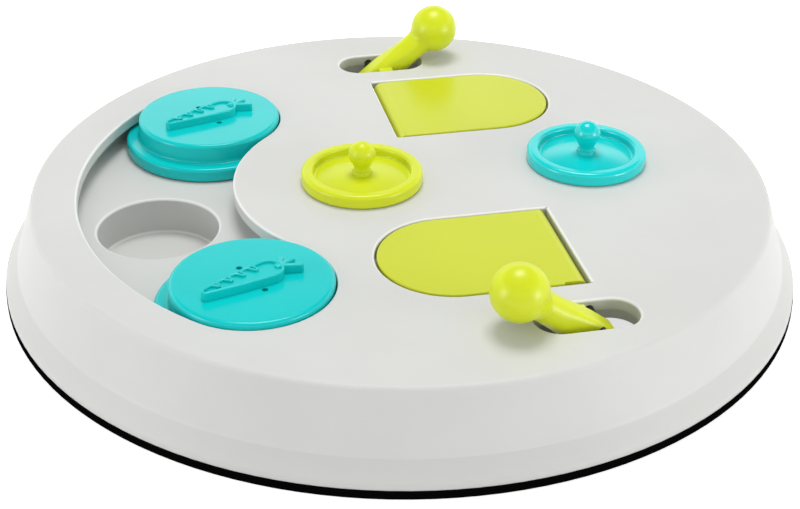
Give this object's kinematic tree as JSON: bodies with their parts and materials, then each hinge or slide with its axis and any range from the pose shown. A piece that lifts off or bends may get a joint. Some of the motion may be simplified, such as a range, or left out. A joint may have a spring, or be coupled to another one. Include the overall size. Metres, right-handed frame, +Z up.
{
  "type": "treat puzzle board",
  "caption": "Round treat puzzle board for rabbits with sliding covers in a curved channel, lever-opened flaps and lift-off lids over treat wells, on a non-slip rubber ring.",
  "frame": {"origin": "centre of the round base, on the table", "axes": "+Z up; the curved slide channel is on the -X side, the levers are towards +Y and -Y"},
  "size_m": [0.23, 0.23, 0.0439],
  "materials": {
    "board_grey": "fine satin moulded plastic, light warm grey",
    "teal": "smooth semi-gloss moulded plastic, turquoise",
    "lime": "smooth semi-gloss moulded plastic, lime green",
    "rubber": "matt black rubber",
    "steel": "plain zinc-plated steel"
  },
  "bodies": {
    "board": {"top_shell": "board_grey", "non_slip_ring": "rubber", "slide_tray": "board_grey", "flap_well_rear": "board_grey", "flap_well_front": "board_grey", "lid_well_lime": "board_grey", "lid_well_teal": "board_grey", "slide_tray_screws": "steel", "flap_well_screws": "steel", "lid_well_screws": "steel"},
    "rear_cover": {"slider_rear": "teal"},
    "front_cover": {"slider_front": "teal"},
    "rear_flap": {"flap_rear": "lime", "hinge_pin_rear": "steel", "lever_rear": "lime"},
    "front_flap": {"flap_front": "lime", "hinge_pin_front": "steel", "lever_front": "lime"},
    "lime_lid": {"lime_lid": "lime"},
    "teal_lid": {"teal_lid": "teal"}
  },
  "joints": [
    {"name": "rear_cover_slide", "type": "hinge", "parent": "board", "child": "rear_cover", "pos_m": [0, 0, 0.02], "axis": [0, 0, 1], "range_deg": [0, 46.4]},
    {"name": "front_cover_slide", "type": "hinge", "parent": "board", "child": "front_cover", "pos_m": [0, 0, 0.02], "axis": [0, 0, 1], "range_deg": [-46.4, 0]},
    {"name": "rear_flap_hinge", "type": "hinge", "parent": "board", "child": "rear_flap", "pos_m": [0.0081, 0.0464, 0.0233], "axis": [0, -1, 0], "range_deg": [0, 95]},
    {"name": "front_flap_hinge", "type": "hinge", "parent": "board", "child": "front_flap", "pos_m": [0.0329, -0.0464, 0.0233], "axis": [0, 1, 0], "range_deg": [0, 95]},
    {"name": "lime_lid_lift", "type": "slide", "parent": "board", "child": "lime_lid", "axis": [0, 0, 1], "range_m": [0, 0.03]},
    {"name": "teal_lid_lift", "type": "slide", "parent": "board", "child": "teal_lid", "axis": [0, 0, 1], "range_m": [0, 0.03]}
  ]
}
